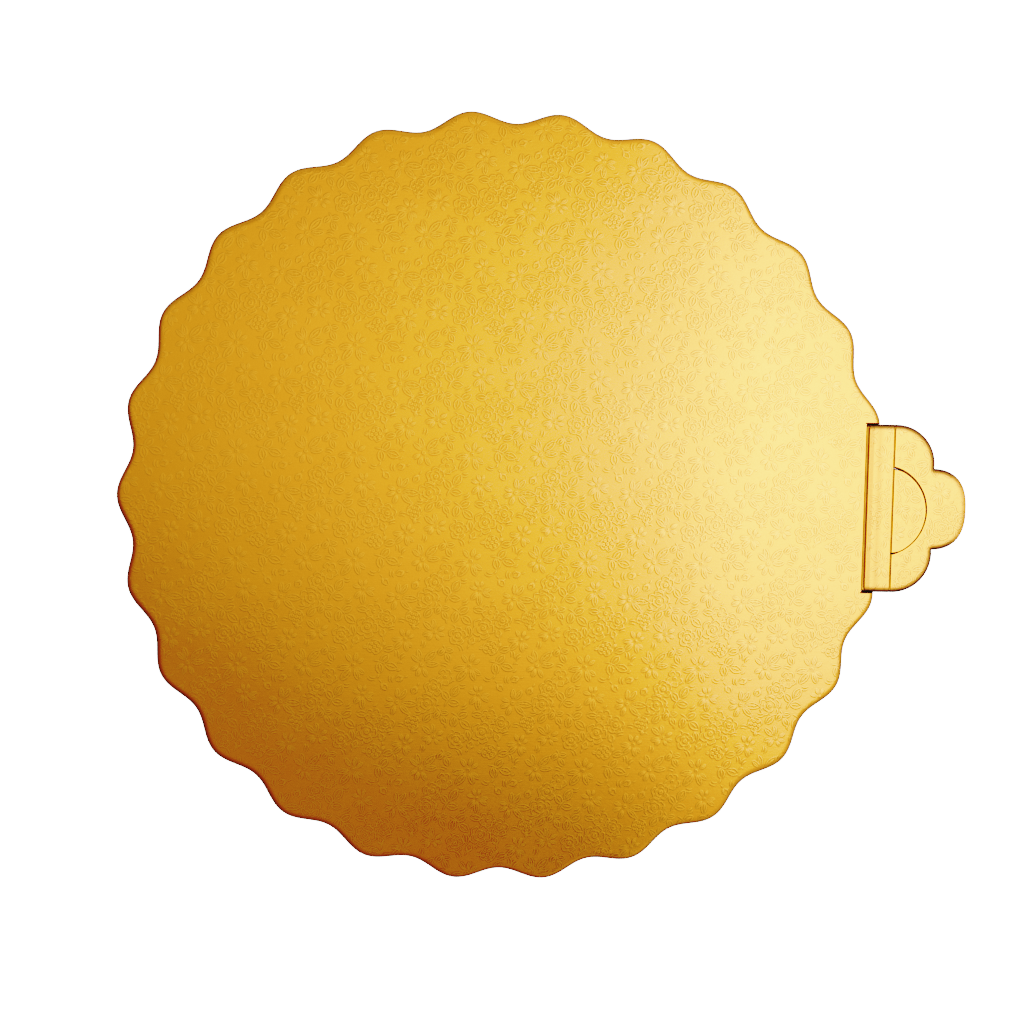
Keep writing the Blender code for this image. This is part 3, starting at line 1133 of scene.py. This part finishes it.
# The pale room: its light, and how much that grows to the right and to the back
ROOM = (1.3, 0.45, 0.35)
LIGHT_COLOUR = (1.0, 0.88, 0.85, 1.0)

# A soft box hangs over the board. Its light fades into the room's between the two shares of its scale
SOFT_BOX_HEIGHT = 150.0
SOFT_BOX_REACH = 600.0
SOFT_BOX_SCALE = 414.0
SOFT_BOX_FADE = (0.62, 0.85)

# Natural logarithm of its light against place in that scale: 1, x, y, xx, xy, yy, each held within limits
OVERHEAD = (0.65, 1.67, 0.94, -0.2, -0.92, -3.65)
OVERHEAD_X = (-0.48, 0.48)
OVERHEAD_Y = (-0.46, 0.5)
OVERHEAD_LEVEL = (-0.45, 3.0)

# A brighter strip to the right: strength, place and width
BRIGHT_STRIP = (0.3, 0.34, 0.11)

# A dimmer front: strength, how it fades towards the back, and how it grows to the right
DIM_FRONT = -0.27
DIM_BACKWARD = (-0.46, -0.26, 1.0, 0.0)
DIM_RIGHTWARD = (-0.25, 0.1, 0.25, 1.0)


def floor_material():
    """Matt pale card, lit to pure white where the camera sees it."""
    material, tree, shader = new_material("floor_card")
    cloud = noise(tree, (0.004, 0.004, 0.004), 3.0)
    tree.links.new(mix(tree, cloud, (0.46, 0.46, 0.46), (0.50, 0.50, 0.50)), shader.inputs["Base Color"])
    shader.inputs["Roughness"].default_value = 0.9
    shader.inputs["Emission Color"].default_value = (1.0, 1.0, 1.0, 1.0)
    seen = node(tree, "ShaderNodeLightPath").outputs["Is Camera Ray"]
    tree.links.new(maths(tree, "MULTIPLY", seen, FLOOR_GLOW), shader.inputs["Emission Strength"])
    return material


def square(name, reach, order, material):
    """A flat square of one face, which looks up or down by the order of its corners."""
    half = reach * MM
    corners = [(-half, -half, 0), (half, -half, 0), (half, half, 0), (-half, half, 0)]
    obj = mesh_object(name, corners, [order])
    obj.data.materials.append(material)
    return obj


def floor():
    obj = square("floor", FLOOR_REACH, [0, 1, 2, 3], floor_material())
    obj.location.z = -FLOOR_DEPTH * MM


def clamped(tree, value, low, high):
    made = node(tree, "ShaderNodeClamp", Min=low, Max=high)
    tree.links.new(value, made.inputs["Value"])
    return made.outputs["Result"]


def total(tree, terms):
    """The sum of factor * first * second over the terms."""
    amount = 0.0
    for factor, first, second in terms:
        term = maths(tree, "MULTIPLY", maths(tree, "MULTIPLY", first, second), factor)
        amount = maths(tree, "ADD", term, amount)
    return amount


def room_light(tree, to_right, to_back, share):
    """The room's light in a direction, times a share."""
    level, right_growth, back_growth = ROOM
    terms = [(level, share, 1.0)]
    terms.append((level * right_growth, to_right, share))
    terms.append((level * back_growth, to_back, share))
    return total(tree, terms)


def soft_box():
    """A wide lit panel above the board, brightest to the right, unseen by the camera."""
    material = bpy.data.materials.new("soft_box")
    material.use_nodes = True
    tree = material.node_tree
    tree.nodes.clear()
    side = 1.0 / SOFT_BOX_SCALE
    from_x, from_y, _ = split_axes(tree, scaled_place(tree, (side, side, side)))
    x = clamped(tree, from_x, *OVERHEAD_X)
    y = clamped(tree, from_y, *OVERHEAD_Y)
    terms = list(zip(OVERHEAD, (1.0, x, y, x, x, y), (1.0, 1.0, 1.0, x, y, y)))
    strength, place, width = BRIGHT_STRIP
    strip = maths(tree, "DIVIDE", maths(tree, "SUBTRACT", x, place), width)
    strip = maths(tree, "EXPONENT", total(tree, [(-1.0, strip, strip)]))
    terms.append((strength, strip, 1.0))
    terms.append((DIM_FRONT, ramp(tree, y, *DIM_BACKWARD), ramp(tree, x, *DIM_RIGHTWARD)))
    level = maths(tree, "EXPONENT", clamped(tree, total(tree, terms), *OVERHEAD_LEVEL))
    reach = maths(tree, "SQRT", total(tree, [(1.0, from_x, from_x), (1.0, from_y, from_y)]))
    beyond = ramp(tree, reach, *SOFT_BOX_FADE, 0.0, 1.0)
    along_x = maths(tree, "DIVIDE", from_x, reach)
    along_y = maths(tree, "DIVIDE", from_y, reach)
    outside = room_light(tree, along_x, along_y, beyond)
    level = total(tree, [(1.0, level, maths(tree, "SUBTRACT", 1.0, beyond)), (1.0, outside, 1.0)])
    emission = node(tree, "ShaderNodeEmission", Color=LIGHT_COLOUR)
    tree.links.new(level, emission.inputs["Strength"])
    output = node(tree, "ShaderNodeOutputMaterial")
    tree.links.new(emission.outputs["Emission"], output.inputs["Surface"])
    obj = square("soft_box", SOFT_BOX_REACH, [3, 2, 1, 0], material)
    obj.location = (CAMERA_PLACE[0] * MM, CAMERA_PLACE[1] * MM, SOFT_BOX_HEIGHT * MM)
    obj.visible_camera = False


def studio():
    """An even pale room, a little brighter to the right and the back."""
    world = bpy.data.worlds.new("pale_room")
    bpy.context.scene.world = world
    world.use_nodes = True
    tree = world.node_tree
    background = tree.nodes["Background"]
    x, y, _ = split_axes(tree, node(tree, "ShaderNodeTexCoord").outputs["Generated"])
    seen = node(tree, "ShaderNodeLightPath").outputs["Is Camera Ray"]
    unseen = maths(tree, "SUBTRACT", 1.0, seen)
    strength = total(tree, [(1.0, room_light(tree, x, y, unseen), 1.0), (WORLD_GLOW, seen, 1.0)])
    background.inputs["Color"].default_value = LIGHT_COLOUR
    tree.links.new(strength, background.inputs["Strength"])


# Light shown against light received, as shares of full white and of the level below
TONE = (
    (0.0, 0.0),
    (0.0104, 0.0044),
    (0.0208, 0.008),
    (0.0363, 0.034),
    (0.046, 0.115),
    (0.059, 0.216),
    (0.0957, 0.361),
    (0.1667, 0.597),
    (0.29, 0.791),
    (0.505, 0.922),
    (0.75, 0.96),
    (1.0, 1.0),
)
WHITE = 6.0


def tone():
    """A contrasty film-like response, the same for every channel."""
    view = bpy.context.scene.view_settings
    view.view_transform = "Standard"
    view.look = "None"
    view.use_curve_mapping = True
    mapping = view.curve_mapping
    mapping.white_level = (WHITE, WHITE, WHITE)
    combined = mapping.curves[3]
    combined.points[0].location = TONE[0]
    combined.points[1].location = TONE[-1]
    for place in TONE[1:-1]:
        combined.points.new(*place)
    mapping.update()


def camera():
    data = bpy.data.cameras.new("camera")
    data.sensor_width = CAMERA_SENSOR
    data.lens = CAMERA_LENS
    data.clip_start = 0.01
    obj = bpy.data.objects.new("camera", data)
    obj.location = [value * MM for value in CAMERA_PLACE]
    obj.rotation_euler = Euler([math.radians(value) for value in CAMERA_TURN], "XYZ")
    bpy.context.scene.collection.objects.link(obj)
    bpy.context.scene.camera = obj


# ---------------------------------------------------------------- assembly

PANELS = {
    "board": (BOARD, BOARD_ROLL, tab_opening, "DIFFERENCE"),
    "band": (TAB, TAB_ROLL, band_region, "INTERSECT"),
    "petal_flap": (TAB, TAB_ROLL, petal_region, "INTERSECT"),
    "tongue": (TAB, TAB_ROLL, tongue_region, "INTERSECT"),
}


def build():
    strokes = repeat_strokes()
    foil = foil_material("gold_foil", BOARD_RIM_SHADE, BOARD_GRAIN, False)
    tab_foil = foil_material("gold_foil_tab", TAB_RIM_SHADE, TAB_GRAIN, True)
    lower = greyboard_material("greyboard_lower", LOWER_PLY_LIGHT)
    upper = greyboard_material("greyboard_upper", UPPER_PLY_LIGHT)
    paper = paper_material("lining_paper")
    for panel, (outline, roll, region, operation) in PANELS.items():
        gold = foil if panel == "board" else tab_foil
        foil_piece(panel, outline, roll, region, operation, strokes, gold)
        sheet_piece(panel, "core_upper_ply", upper_ply_blank(outline, roll), region, operation, upper)
        sheet_piece(panel, "core_lower_ply", lower_ply_blank(outline, roll), region, operation, lower)
        sheet_piece(panel, "backing_paper", backing_blank(outline), region, operation, paper)
    crease_strips(crease_material())


build()
floor()
soft_box()
studio()
tone()
camera()
